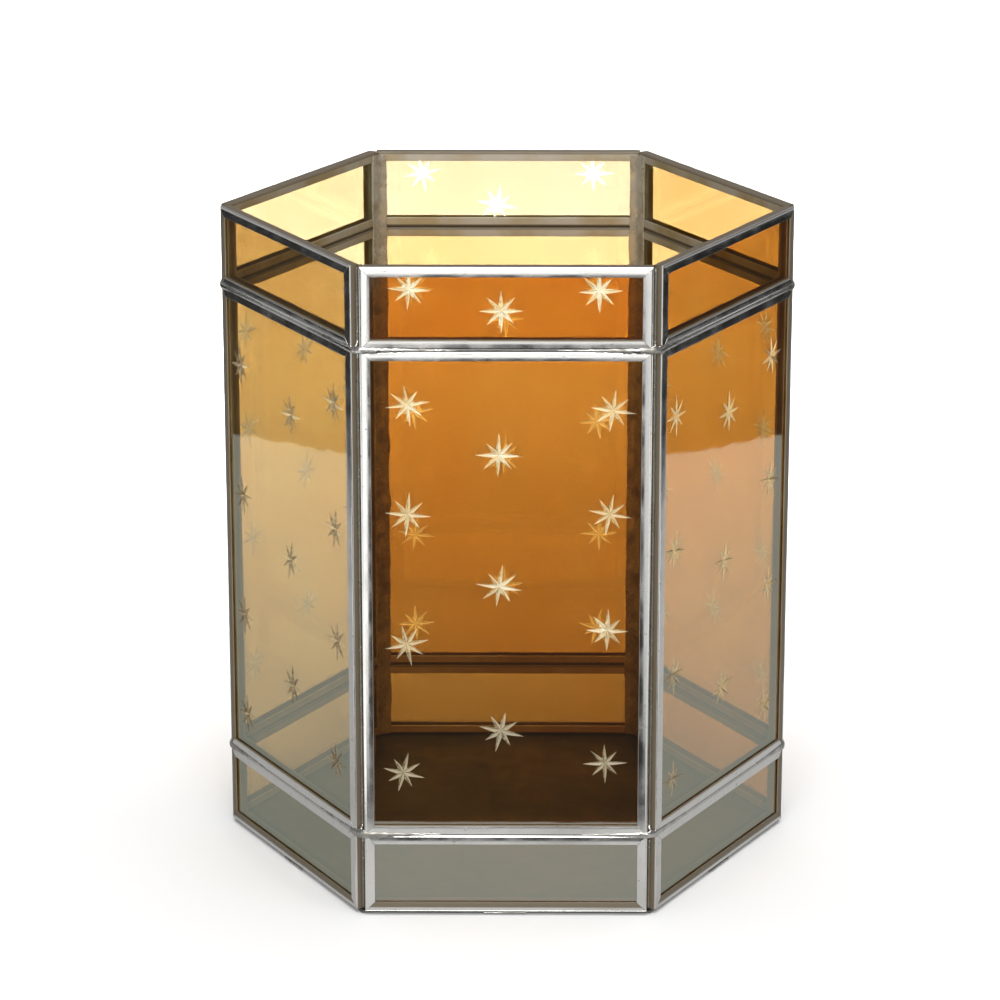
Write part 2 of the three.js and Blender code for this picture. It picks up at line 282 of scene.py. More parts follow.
# ---- cards, lamps and camera ----
STUDIO_PALE = (0.86, 0.86, 0.86)
STUDIO_HALF = 8
STUDIO_DROP = 0.4 * MM                  # the floor lies this far under the lantern and the cards
FADE_START, FADE_END = 1.15, 1.7        # distances at which the floor goes over into white
CARD_LAYER = 0.3 * MM                   # cards that overlap lie this far above one another
CARD_NEAR = -(APOTHEM + 0.080)
CARD_FAR = 1.2
CARD_START = -1.0
FRONT_START = -1.02
FRONT_HALF = 0.08
BOUNCE_REACH = 0.24
STEP_HALF = 0.085
UNDER_REACH = 0.50
SIDE_REACH = 2.4
DARK_CARD = (0.02, 0.02, 0.02)
CARD_GLOWS = {"white": 1.6, "pale": 0.8, "front_grey": 0.74, "left_grey": 0.49, "right_grey": 0.57}
HORIZON_GREY = (0.60, 0.60, 0.59)
OVERHEAD_GREY = (0.24, 0.24, 0.25)
OVERHEAD_FROM, OVERHEAD_TO = 0.02, 0.22
LAMP_HEIGHT = 1.6
LAMP_SPREAD = math.radians(50)
LAMP_DEPTH = 0.5
FRONT_LAMP = ((0.0, -2.5, 0.95), (0, 0, 0.15), (2.4, 1.3), 58)      # place, aim, size, watts
TOP_LAMP = ((0.1, -0.3, 2.2), (0, 0.1, 0.0), (1.6, 1.6), 38)
BACK_LAMP = ((0.0, 2.0, 1.1), (0, 0, 0.12), (1.4, 0.8), 220)
CAMERA_LENS = 146.6
CAMERA_DISTANCE = 1.433
CAMERA_ELEVATION = math.radians(17.6)
CAMERA_AZIMUTH = math.radians(0.343)
CAMERA_TRUCK, CAMERA_RISE = -2.52 * MM, 6.74 * MM       # of its aim, from the lantern's middle
FLOOR_LAMPS = (                         # name, across, behind, width, watts
    ("far_floor", -0.25, 0.75, 1.4, 7.9),
    ("backdrop", 0.0, 1.7, 1.8, 12),
)


# ---- node helpers ----
def new_material(name):
    material = bpy.data.materials.new(name)
    material.use_nodes = True
    tree = material.node_tree
    tree.nodes.clear()
    output = tree.nodes.new("ShaderNodeOutputMaterial")
    return material, tree, output


def add_node(tree, kind, **values):
    """A node with its properties set by name and its input sockets set by 'in_' and the name."""
    node = tree.nodes.new(kind)
    for key, value in values.items():
        if key.startswith("in_"):
            node.inputs[key[3:].replace("_", " ")].default_value = value
        else:
            setattr(node, key, value)
    return node


def noise_node(tree, scale, detail, stretch=(1, 1, 1)):
    """Noise over the object's own metres."""
    place = add_node(tree, "ShaderNodeTexCoord")
    mapping = add_node(tree, "ShaderNodeMapping")
    mapping.inputs["Scale"].default_value = stretch
    tree.links.new(place.outputs["Object"], mapping.inputs["Vector"])
    node = add_node(tree, "ShaderNodeTexNoise", in_Scale=scale, in_Detail=detail)
    tree.links.new(mapping.outputs["Vector"], node.inputs["Vector"])
    return node.outputs["Fac"]


def ramp(tree, source, low, high, low_value, high_value):
    """Carries a number from one range to another, clamped."""
    node = add_node(tree, "ShaderNodeMapRange")
    node.inputs["From Min"].default_value = low
    node.inputs["From Max"].default_value = high
    node.inputs["To Min"].default_value = low_value
    node.inputs["To Max"].default_value = high_value
    tree.links.new(source, node.inputs["Value"])
    return node.outputs["Result"]


def arithmetic(tree, operation, first, second):
    node = add_node(tree, "ShaderNodeMath", operation=operation, use_clamp=False)
    for socket, value in zip(node.inputs, (first, second)):
        if isinstance(value, (int, float)):
            socket.default_value = value
        else:
            tree.links.new(value, socket)
    return node.outputs[0]


def mix_colour(tree, factor, first, second):
    node = add_node(tree, "ShaderNodeMix", data_type="RGBA")
    tree.links.new(factor, node.inputs["Factor"])
    for name, value in (("A", first), ("B", second)):
        socket = next(s for s in node.inputs if s.name == name and s.type == "RGBA")
        if isinstance(value, tuple):
            socket.default_value = (*value, 1)
        else:
            tree.links.new(value, socket)
    return next(s for s in node.outputs if s.type == "RGBA")


def mix_shader(tree, factor, first, second):
    node = add_node(tree, "ShaderNodeMixShader")
    if isinstance(factor, (int, float)):
        node.inputs[0].default_value = factor
    else:
        tree.links.new(factor, node.inputs[0])
    tree.links.new(first, node.inputs[1])
    tree.links.new(second, node.inputs[2])
    return node.outputs[0]


def bump(tree, height, strength, distance):
    node = add_node(tree, "ShaderNodeBump", in_Strength=strength, in_Distance=distance)
    tree.links.new(height, node.inputs["Height"])
    return node.outputs["Normal"]


# ---- materials ----
def schlick(tree, straight_on):
    """Share of light that a glass face reflects, by the angle it is seen at."""
    layer = add_node(tree, "ShaderNodeLayerWeight", in_Blend=0.5)
    grazing = arithmetic(tree, "POWER", layer.outputs["Facing"], 5.0)
    rise = arithmetic(tree, "MULTIPLY", grazing, 1 - straight_on)
    return arithmetic(tree, "ADD", rise, straight_on)


def amber_colour(tree, depth):
    """Light left after the amber skin, which takes blue first."""
    colour = add_node(tree, "ShaderNodeCombineColor")
    for share, socket in zip(AMBER_PASS, colour.inputs):
        tree.links.new(arithmetic(tree, "POWER", share, depth), socket)
    return colour.outputs[0]


def glass_material(name, amber):
    """One face of a flashed pane: clear glass, or clear glass under the shining amber skin."""
    material, tree, output = new_material(name)
    clear = add_node(tree, "ShaderNodeBsdfTransparent")
    if amber:
        skin = add_node(tree, "ShaderNodeAttribute", attribute_name="amber").outputs["Fac"]
        cloud = ramp(tree, noise_node(tree, GLASS_CLOUD, 3), 0.35, 0.7, 0.93, 1.09)
        streak = ramp(tree, noise_node(tree, GLASS_STREAK, 3, (1, 1, 0.12)), 0.4, 0.75, 0.97, 1.05)
        depth = arithmetic(tree, "MULTIPLY", skin, arithmetic(tree, "MULTIPLY", cloud, streak))
        tree.links.new(amber_colour(tree, depth), clear.inputs["Color"])
    else:
        clear.inputs["Color"].default_value = (*GLASS_PASS, 1)
    gloss = add_node(tree, "ShaderNodeBsdfGlossy", in_Roughness=GLASS_ROUGHNESS)
    gloss.inputs["Color"].default_value = (*GLASS_GLEAM, 1)
    waviness = noise_node(tree, GLASS_WAVE, 2)
    tree.links.new(bump(tree, waviness, 0.25, 0.2 * MM), gloss.inputs["Normal"])
    straight_on = SKIN_REFLECTANCE if amber else CLEAR_REFLECTANCE
    shader = mix_shader(tree, schlick(tree, straight_on), clear.outputs[0], gloss.outputs[0])
    tree.links.new(shader, output.inputs["Surface"])
    return material


def cut_material(name, frosting, light, dark):
    """One slope of a star's arms: ground glass where the wheel went through the amber skin, coloured with
    painted light on one slope and painted shade on the other.
    """
    material, tree, output = new_material(name)
    clear = add_node(tree, "ShaderNodeBsdfTransparent")
    clear.inputs["Color"].default_value = (*CUT_CLEAR, 1)
    scatter = add_node(tree, "ShaderNodeBsdfDiffuse")
    through = add_node(tree, "ShaderNodeBsdfTranslucent")
    grain = ramp(tree, noise_node(tree, CUT_GRAIN, 4), 0.3, 0.7, 0.0, 1.0)
    tint = mix_colour(tree, grain, light, dark)
    tree.links.new(tint, scatter.inputs["Color"])
    tree.links.new(tint, through.inputs["Color"])
    frosted = mix_shader(tree, CUT_THROUGH, scatter.outputs[0], through.outputs[0])
    body = mix_shader(tree, frosting, clear.outputs[0], frosted)
    gloss = add_node(tree, "ShaderNodeBsdfGlossy", in_Roughness=CUT_ROUGHNESS)
    shader = mix_shader(tree, schlick(tree, CUT_REFLECTANCE), body, gloss.outputs[0])
    tree.links.new(shader, output.inputs["Surface"])
    return material


def plated_material():
    """Sheet plated bright outside and left dull inside, as the mesh's own values say, with painted shade
    on the webs and folds and darker strips on the lips and uprights.
    """
    material, tree, output = new_material("bright_plated_sheet")
    shader = add_node(tree, "ShaderNodeBsdfPrincipled")
    dull_and_shade = add_node(tree, "ShaderNodeAttribute", attribute_name="dull_and_shade").outputs["Fac"]
    shade_and_strip = ramp(tree, dull_and_shade, 0.0, 0.5, 0.0, 1.0)
    inside = ramp(tree, dull_and_shade, 0.5, 1.0, 0.0, 1.0)
    cloud = ramp(tree, noise_node(tree, PLATE_CLOUD, 5), 0.5, 0.8, 0.0, 0.4)
    speck = ramp(tree, noise_node(tree, PLATE_SPECK, 3), 0.66, 0.78, 0.0, 0.8)
    stain = arithmetic(tree, "MAXIMUM", cloud, speck)
    patch = ramp(tree, noise_node(tree, TIN_PATCH, 5), 0.42, 0.62, 0.0, 1.0)
    bright = mix_colour(tree, stain, PLATE_BRIGHT, PLATE_STAIN)
    # the darkened parts take the olive of painted shade and of the darker strips
    outer = mix_colour(tree, shade_and_strip, bright, SHADE_AND_STRIP_OLIVE)
    inner = mix_colour(tree, patch, TIN_GREY, TIN_BRASS)
    tree.links.new(mix_colour(tree, inside, outer, inner), shader.inputs["Base Color"])
    less_where_shaded = ramp(tree, shade_and_strip, 0.0, 1.0, 1.0, SHADE_AND_STRIP_METALLIC)
    more_inside = ramp(tree, inside, 0.0, 1.0, 0.0, INSIDE_METALLIC - SHADE_AND_STRIP_METALLIC)
    metallic = arithmetic(tree, "ADD", less_where_shaded, more_inside)
    tree.links.new(metallic, shader.inputs["Metallic"])
    smear = ramp(tree, noise_node(tree, PLATE_SMEAR, 4), 0.35, 0.7, 0.14, 0.28)
    rough = arithmetic(tree, "ADD", smear, ramp(tree, shade_and_strip, 0.0, 1.0, 0.0, DULL_ROUGHNESS))
    tree.links.new(rough, shader.inputs["Roughness"])
    dents = noise_node(tree, PLATE_DENT, 2)
    grain = noise_node(tree, PLATE_GRAIN, 3)
    height = arithmetic(tree, "ADD", dents, arithmetic(tree, "MULTIPLY", grain, 0.10))
    tree.links.new(bump(tree, height, 0.12, 0.12 * MM), shader.inputs["Normal"])
    tree.links.new(shader.outputs[0], output.inputs["Surface"])
    return material


def solder_material(name, light, dark, metallic):
    """Pitted solder with stains."""
    material, tree, output = new_material(name)
    shader = add_node(tree, "ShaderNodeBsdfPrincipled", in_Metallic=metallic)
    stain = ramp(tree, noise_node(tree, SOLDER_STAIN, 5), 0.42, 0.66, 0.0, 1.0)
    tree.links.new(mix_colour(tree, stain, light, dark), shader.inputs["Base Color"])
    tree.links.new(ramp(tree, stain, 0, 1, 0.20, 0.48), shader.inputs["Roughness"])
    pits = noise_node(tree, SOLDER_PIT, 4)
    tree.links.new(bump(tree, pits, 0.5, 0.15 * MM), shader.inputs["Normal"])
    tree.links.new(shader.outputs[0], output.inputs["Surface"])
    return material


def floor_material():
    """Dull grey sheet with paler clouds and fine scratches."""
    material, tree, output = new_material("dull_floor_sheet")
    shader = add_node(tree, "ShaderNodeBsdfPrincipled", in_Metallic=0.85)
    cloud = ramp(tree, noise_node(tree, FLOOR_CLOUD, 6), 0.35, 0.7, 0.0, 1.0)
    tree.links.new(mix_colour(tree, cloud, FLOOR_GREY, FLOOR_PALE), shader.inputs["Base Color"])
    smears = ramp(tree, noise_node(tree, FLOOR_SMEAR, 4), 0.3, 0.7, 0.38, 0.6)
    tree.links.new(smears, shader.inputs["Roughness"])
    scratches = noise_node(tree, FLOOR_SCRATCH, 3, (0.08, 1, 1))
    tree.links.new(bump(tree, scratches, 0.3, 0.1 * MM), shader.inputs["Normal"])
    tree.links.new(shader.outputs[0], output.inputs["Surface"])
    return material


# ---- mesh helpers ----
def face_matrix(face):
    """x along the face, y up, z outward, from the axis of the lantern."""
    angle = (face + 0.5) * TURN
    outward = Vector((math.cos(angle), math.sin(angle), 0))
    up = Vector((0, 0, 1))
    along = up.cross(outward)
    return Matrix((along, up, outward)).transposed().to_4x4()


def make_object(name, points, polygons, materials, smooth=False, indices=None):
    """A mesh object with its faces turned outward."""
    mesh = bpy.data.meshes.new(name)
    mesh.from_pydata(points, [], polygons)
    for material in materials:
        mesh.materials.append(material)
    if indices:
        mesh.polygons.foreach_set("material_index", indices)
    mesh.validate()
    solid = bmesh.new()
    solid.from_mesh(mesh)
    bmesh.ops.recalc_face_normals(solid, faces=solid.faces)
    solid.to_mesh(mesh)
    solid.free()
    piece = bpy.data.objects.new(name, mesh)
    bpy.context.scene.collection.objects.link(piece)
    if smooth:
        mesh.shade_smooth()
    return piece


def claim(piece, slot_name, *nodes):
    """The piece belongs to the lantern's one body and stands for these CAD nodes."""
    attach(piece, "root")
    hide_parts(*nodes)


def ring_polygons(rings, count, closed):
    """Quads between rings of count points each."""
    polygons = []
    last = rings if closed else rings - 1
    for ring in range(last):
        here = ring * count
        there = ((ring + 1) % rings) * count
        for j in range(count):
            k = (j + 1) % count
            polygons.append((here + j, there + j, there + k, here + k))
    return polygons


# ---- frames ----
def arc(inset, depth, radius, start, end):
    points = []
    for step in range(FOLD_STEPS + 1):
        angle = math.radians(start + (end - start) * step / FOLD_STEPS)
        points.append((inset + radius * math.cos(angle), depth + radius * math.sin(angle)))
    return points


def channel_section():
    """The folded channel as (inset from the frame's edge, depth behind its face, dullness and painted
    shade).
    """
    back = CHANNEL_DEPTH - FOLD
    inner = FOLD - SHEET
    bend = FOLD * 1.3
    outer = [(FLANGE - EDGE_CHAMFER, 0), (FLANGE * 0.75, 0), (FLANGE * 0.5, 0), (bend, 0)]
    outer += arc(FOLD, FOLD, FOLD, -90, -180)
    web = arc(FOLD, back, FOLD, 180, 90)
    inside = [(bend, CHANNEL_DEPTH), (FLANGE * 0.6, CHANNEL_DEPTH)]
    inside += [(FLANGE - EDGE_CHAMFER, CHANNEL_DEPTH), (FLANGE, CHANNEL_DEPTH - EDGE_CHAMFER)]
    inside += [(FLANGE, CHANNEL_DEPTH - SHEET)]
    inside += arc(FOLD, back, inner, 90, 180)
    inside += arc(FOLD, FOLD, inner, -180, -90)
    inside += [(FLANGE, SHEET)]
    # the outer fold darkens towards the web, and the web and the free edge's chamfer are darkened: painted
    # shade
    section = [(*point, max(0, point[1] / FOLD - 0.5)) for point in outer]
    section += [(*point, SHADE_AND_STRIP) for point in web]
    section += [(*point, INSIDE) for point in inside]
    section += [(FLANGE, EDGE_CHAMFER, SHADE_AND_STRIP)]
    return section


def side_shares(length):
    """Places along one side of a frame, closer together at the mitres."""
    groove = MITRE_HALF / length
    count = max(4, round(length / STATION))
    inner = [step / count for step in range(1, count)]
    return [0, groove, 3 * groove, *inner, 1 - 3 * groove, 1 - groove]


def flange_lift(inset, depth, tilt):
    """How far the outer flange falls back: crowned towards its fold, turned in at its lip."""
    if depth > SHEET / 2:
        return 0
    share = min(1, max(0, inset / FLANGE))
    crown = (FLANGE_CROWN + tilt) * (1 - share) ** CROWN_POWER
    lip = LIP_DROP * max(0, share - LIP_FROM) / LIP_LONG
    return crown + lip


def sunken(inset, depth, tilt, at, mitred):
    """Depth of a point behind the frame's face, with the crown, the waves and the mitre's groove."""
    wave = WAVE * noise.noise(at / WAVE_LENGTH) + RIPPLE * noise.noise(at / RIPPLE_LENGTH)
    waving = 1 if depth < SHEET else INNER_WAVE
    sunk = depth + flange_lift(inset, depth, tilt) + wave * waving
    if mitred:
        inward = 1 if depth < CHANNEL_DEPTH / 2 else -1
        sunk += MITRE_DEEP * inward * min(1, inset / FOLD)
    return sunk


def is_dark_strip(tier, face, side, inset, depth):
    """True on the parts of the outer flange that are darker: the lip along the lower side, and the
    uprights at the left and right corners.
    """
    if depth != 0:
        return False
    on_lip = side == 0 and inset > FLANGE * DARK_STRIP_FROM[tier]
    on_upright = side == DARK_STRIP_UPRIGHTS.get(FACE_NAMES[face]) and inset > FLANGE * UPRIGHT_FROM
    return on_lip or on_upright


def frame_points(tier, face):
    """The section carried round the pane's four sides: points, dullness and painted shade, and the number
    of rings.
    """
    low, high = TIER_Z[tier]
    low -= SEAM_CLOSE
    high += SEAM_CLOSE
    half = HALF_WIDTH + SEAM_CLOSE
    draw = random.Random(f"frame {tier} {face}")
    corners = ((-half, low, 1, 1), (half, low, -1, 1), (half, high, -1, -1), (-half, high, 1, -1))
    place = face_matrix(face)
    points = []
    dull_and_shade_values = []
    rings = 0
    for side in range(4):
        here, there = corners[side], corners[(side + 1) % 4]
        length = math.hypot(there[0] - here[0], there[1] - here[1])
        tilt = draw.uniform(*TILT_RANGE) + LEANING_FLANGES.get((tier, FACE_NAMES[face], side), 0)
        for share in side_shares(length):
            rings += 1
            for inset, depth, dull_and_shade in channel_section():
                x = (here[0] + here[2] * inset) * (1 - share) + (there[0] + there[2] * inset) * share
                y = (here[1] + here[3] * inset) * (1 - share) + (there[1] + there[3] * inset) * share
                at = Vector((x, y, face * 1.0))
                sunk = sunken(inset, depth, tilt, at, share == 0)
                edge = WAVE * EDGE_WAVE * noise.noise(at / WAVE_LENGTH + OTHER_NOISE)
                if share > 0 and inset > FLANGE * WANDER_FROM:
                    if side % 2 == 0:
                        y += here[3] * edge
                    else:
                        x += there[2] * edge
                points.append(place @ Vector((x, y, APOTHEM - sunk)))
                dull_and_shade_values.append(SHADE_AND_STRIP if is_dark_strip(tier, face, side, inset, depth) else dull_and_shade)
    return points, dull_and_shade_values, rings


def frame_piece(tier, face, material):
    """A channel frame with mitred corners and uneven flanges."""
    points, dull_and_shade_values, rings = frame_points(tier, face)
    polygons = ring_polygons(rings, len(channel_section()), True)
    name = f"channel_{tier}_{FACE_NAMES[face]}"
    piece = make_object(name, points, polygons, [material], smooth=True)
    layer = piece.data.attributes.new("dull_and_shade", "FLOAT", "POINT")
    layer.data.foreach_set("value", dull_and_shade_values)
    piece.data.set_sharp_from_angle(angle=FRAME_SHARP)
    claim(piece, "plated_frame", f"frame_{tier}_{FACE_NAMES[face]}")


# ---- panes ----
# the two facet slots hold the star cut painted lit and painted in shade
AMBER_SKIN, PAINTED_LIT_FACET, CLEAR_SIDE, PAINTED_SHADE_FACET = range(4)      # a pane's material slots


def star_outline(draw):
    """One star round (0, 0): each arm's rim as (right, tip, left), and its spine as (point, depth)."""
    twist = draw.uniform(-STAR_TWIST, STAR_TWIST)
    lengths = [
        ARM_LENGTH * (SHORT_ARM if arm % 2 else 1) * (1 + draw.uniform(-ARM_SPREAD, ARM_SPREAD))
        for arm in range(ARMS)
    ]
    width = CUT_HALF_WIDTH * draw.uniform(*WIDTH_RANGE)
    slope = math.tan(math.pi / ARMS)
    arms = []
    for arm, length in enumerate(lengths):
        angle = twist + arm * 2 * math.pi / ARMS
        along = Vector((math.cos(angle), math.sin(angle)))
        across = Vector((-along.y, along.x))
        # where the cut's side meets the neighbour's: u * slope = width * (1 - (u / length) ** 2)
        notch = (-slope + math.sqrt(slope ** 2 + 4 * width ** 2 / length ** 2)) * length ** 2 / (2 * width)
        arms.append((along, across, length, notch))
    rim = []
    spines = []
    for arm, (along, across, length, notch) in enumerate(arms):
        before = arms[arm - 1]
        meeting = (notch + before[3]) / 2
        corner = along * meeting - across * meeting * slope
        right = [corner]
        left = []
        spine = []
        for step in range(1, OUTLINE_STEPS):
            u = notch + (length - notch) * step / OUTLINE_STEPS
            v = width * (1 - (u / length) ** 2)
            right.append(along * u - across * v)
            left.append(along * u + across * v)
        for step in range(OUTLINE_STEPS):
            u = notch + (length - notch) * step / OUTLINE_STEPS
            spine.append((along * u, CUT_DEPTH * (1 - (u / length) ** 2)))
        tip = along * length
        rim.append((right, tip, left[::-1]))
        spines.append(spine)
    return rim, spines


def lay_stars(tier, face, draw, flat, edges):
    """Adds the stars' rims to the pane's outline, and lists (centre, first point, points, spines)."""
    low, high = TIER_Z[tier]
    stars = []
    for across, up in STARS.get((tier, FACE_NAMES[face]), ()):
        centre = Vector((
            across * HALF_WIDTH + draw.uniform(-STAR_SHIFT, STAR_SHIFT),
            low + up * (high - low) + draw.uniform(-STAR_SHIFT, STAR_SHIFT),
        ))
        rim, spines = star_outline(draw)
        first = len(flat)
        for right, tip, left in rim:
            flat.extend(centre + point for point in (*right, tip, *left))
        count = len(flat) - first
        edges.extend((first + i, first + (i + 1) % count) for i in range(count))
        stars.append((centre, first, count, spines))
    return stars


def outer_side(flat, edges, stars):
    """The skin round the stars and the stars' slopes, and where each outline point went."""
    made, _, triangles, origins, _, _ = delaunay_2d_cdt(flat, edges, [], 0, 1e-7)
    place = {}
    for index, sources in enumerate(origins):
        for source in sources:
            place[source] = index
    points = [Vector((p.x, p.y, GLASS_OUTER)) for p in made]
    polygons = []
    indices = []
    for triangle in triangles:
        middle = sum((made[i] for i in triangle), Vector((0, 0))) / 3
        if not any(inside_star(middle, flat, *star[:3]) for star in stars):
            polygons.append(tuple(triangle))
            indices.append(AMBER_SKIN)
    for star in stars:
        add_star(points, polygons, indices, place, *star)
    return points, polygons, indices, place


def amber_depth(tier, face, draw):
    depth = AMBER_DEPTH[FACE_NAMES[face]]
    if tier == "middle":
        depth = TALL_DEPTH.get(FACE_NAMES[face], depth)
    return depth * (1 + draw.uniform(-DEPTH_SPREAD, DEPTH_SPREAD))


def pane_piece(tier, face, materials):
    """A pane with its stars sunk in the outer face."""
    low, high = TIER_Z[tier]
    half = HALF_WIDTH - GLASS_EDGE
    bottom, top = low + GLASS_EDGE, high - GLASS_EDGE
    draw = random.Random(f"pane {tier} {face}")
    flat = [Vector(p) for p in ((-half, bottom), (half, bottom), (half, top), (-half, top))]
    edges = [(0, 1), (1, 2), (2, 3), (3, 0)]
    stars = lay_stars(tier, face, draw, flat, edges)
    points, polygons, indices, place = outer_side(flat, edges, stars)
    inner = [len(points) + i for i in range(4)]
    points.extend(Vector((flat[i].x, flat[i].y, GLASS_INNER)) for i in range(4))
    polygons.append(tuple(inner))
    for i in range(4):
        k = (i + 1) % 4
        polygons.append((place[i], place[k], inner[k], inner[i]))
    indices.extend([CLEAR_SIDE] * 5)
    matrix = face_matrix(face)
    name = f"glass_{tier}_{FACE_NAMES[face]}"
    piece = make_object(name, [matrix @ p for p in points], polygons, materials, indices=indices)
    layer = piece.data.attributes.new("amber", "FLOAT", "POINT")
    layer.data.foreach_set("value", [amber_depth(tier, face, draw)] * len(piece.data.vertices))
    claim(piece, "amber_glass", f"pane_{tier}_{FACE_NAMES[face]}")
    return piece


def inside_star(point, flat, centre, first, count):
    """True if a point of the pane lies inside a star's rim."""
    if (point - centre).length > 2 * ARM_LENGTH:
        return False
    inside = False
    for i in range(count):
        a, b = flat[first + i], flat[first + (i + 1) % count]
        if (a.y > point.y) != (b.y > point.y):
            if point.x < a.x + (b.x - a.x) * (point.y - a.y) / (b.y - a.y):
                inside = not inside
    return inside


def add_star(points, polygons, indices, place, centre, first, count, spines):
    """The sloping facets between a star's rim, its eight spines and its middle."""
    per_arm = count // ARMS
    middle = len(points)
    points.append(Vector((centre.x, centre.y, GLASS_OUTER - CUT_DEPTH)))
    for arm, spine in enumerate(spines):
        start = len(points)
        for point, depth in spine:
            points.append(Vector((centre.x + point.x, centre.y + point.y, GLASS_OUTER - depth)))
        rim = [place[first + arm * per_arm + i] for i in range(per_arm)]
        right = rim[:OUTLINE_STEPS]
        tip = rim[OUTLINE_STEPS]
        left = [place[first + ((arm + 1) % ARMS) * per_arm], *rim[:OUTLINE_STEPS:-1]]
        # the slope that leans towards the painted light's side gets the painted lit tint, the other the
        # painted shade
        along = spine[0][0]
        lean = PAINTED_LIGHT_SIDE.dot(Vector((-along.y, along.x)))
        slopes = ((PAINTED_LIT_FACET, right), (PAINTED_SHADE_FACET, left))
        if lean < 0:
            slopes = ((PAINTED_SHADE_FACET, right), (PAINTED_LIT_FACET, left))
        for material, sidewards in slopes:
            made = [(middle, start, sidewards[0])]
            for step in range(OUTLINE_STEPS - 1):
                made.append((start + step, start + step + 1, sidewards[step + 1], sidewards[step]))
            made.append((start + OUTLINE_STEPS - 1, tip, sidewards[-1]))
            polygons.extend(made)
            indices.extend([material] * len(made))


# ---- solder ----
def unit_ball():
    """The points and triangles of a faceted ball of radius 1."""
    solid = bmesh.new()
    bmesh.ops.create_icosphere(solid, subdivisions=2, radius=1)
    points = [v.co.copy() for v in solid.verts]
    triangles = [tuple(v.index for v in f.verts) for f in solid.faces]
    solid.free()
    return points, triangles


BALL_POINTS, BALL_TRIANGLES = unit_ball()


def blobs_to_solder(name, blobs, material):
    """One lumpy skin over many overlapping lumps, each (centre, radii along x, y, z, turn about z)."""
    points = []
    triangles = []
    for centre, radii, turn in blobs:
        shape = Matrix.Translation(centre) @ Matrix.Rotation(turn, 4, "Z") @ Matrix.Diagonal((*radii, 1))
        first = len(points)
        points.extend(shape @ p for p in BALL_POINTS)
        triangles.extend((a + first, b + first, c + first) for a, b, c in BALL_TRIANGLES)
    mesh = bpy.data.meshes.new(name)
    mesh.from_pydata(points, [], triangles)
    piece = bpy.data.objects.new(name, mesh)
    bpy.context.scene.collection.objects.link(piece)
    remesh = piece.modifiers.new("skin", "REMESH")
    remesh.mode = "VOXEL"
    remesh.voxel_size = SOLDER_VOXEL
    soften = piece.modifiers.new("soften", "SMOOTH")
    soften.iterations = 3
    graph = bpy.context.evaluated_depsgraph_get()
    skin = bpy.data.meshes.new_from_object(piece.evaluated_get(graph))
    piece.modifiers.clear()
    piece.data = skin
    skin.materials.clear()
    skin.materials.append(material)
    skin.shade_smooth()
    return piece


def corner_solder(corner, bright, dark):
    """Solder along a corner's outside groove, lumps at the seams and runs along them."""
    angle = corner * TURN
    outward = Vector((math.cos(angle), math.sin(angle), 0))
    draw = random.Random(f"solder {corner}")
    blobs = []
    z = BOTTOM_Z + END_MARGIN
    while z < RIM_Z - END_MARGIN:
        swell = 1 + BEAD_SWELL * noise.noise(Vector((corner * 7.0, 0, z / BEAD_WAVE)))
        radius = BEAD_RADIUS * swell
        out = GROOVE_APEX + BEAD_OUT + draw.uniform(-BEAD_WANDER, BEAD_WANDER)
        centre = outward * out + Vector((0, 0, z))
        blobs.append((centre, (radius, radius, radius * BEAD_TALL), angle))
        z += radius * BEAD_OVERLAP
    for seam, length in zip(SEAMS, RUN_LENGTHS):
        for _ in range(BLOBS):
            radius = BLOB_RADIUS * draw.uniform(*BLOB_SIZES)
            out = GROOVE_APEX + BLOB_OUT + draw.uniform(*BLOB_SHIFT)
            up = seam + draw.uniform(-BLOB_RISE, BLOB_RISE)
            centre = outward * out + Vector((0, 0, up))
            blobs.append((centre, (radius * BLOB_FLAT, radius, radius), angle))
        for face, side in ((corner, -1), ((corner - 1) % FACES, 1)):
            blobs.extend(seam_run(face, side, seam, length * draw.uniform(*RUN_SPREAD), draw))
    piece = blobs_to_solder(f"corner_solder_{CORNER_NAMES[corner]}", blobs, bright)
    piece.data.materials.append(dark)
    # the bead in the groove away from the seams gets the darker solder: painted shade
    for polygon in piece.data.polygons:
        if min(abs(polygon.center.z - seam) for seam in SEAMS) > BRIGHT_REACH:
            polygon.material_index = 1
    claim(piece, "solder", f"solder_{CORNER_NAMES[corner]}")


def seam_run(face, side, seam, length, draw):
    """Lumps that taper along one seam from a corner."""
    matrix = face_matrix(face)
    turn = (face + 0.5) * TURN - math.pi / 2
    blobs = []
    along = RUN_START
    while along < length:
        share = max(0.0, along / length)
        tall = (RUN_TALL - RUN_TALL_LOSS * share ** RUN_TAPER) * draw.uniform(*LUMP_SPREAD)
        thick = RUN_THICK - RUN_THICK_LOSS * share
        sunk = RUN_SUNK + RUN_SUNK_GAIN * share + max(0.0, -along) * 0.8
        up = seam + draw.uniform(-RUN_WANDER, RUN_WANDER)
        local = Vector((side * (HALF_WIDTH - along), up, APOTHEM - sunk))
        blobs.append((matrix @ local, (RUN_LONG, thick, tall), turn))
        along += RUN_STEP
    return blobs


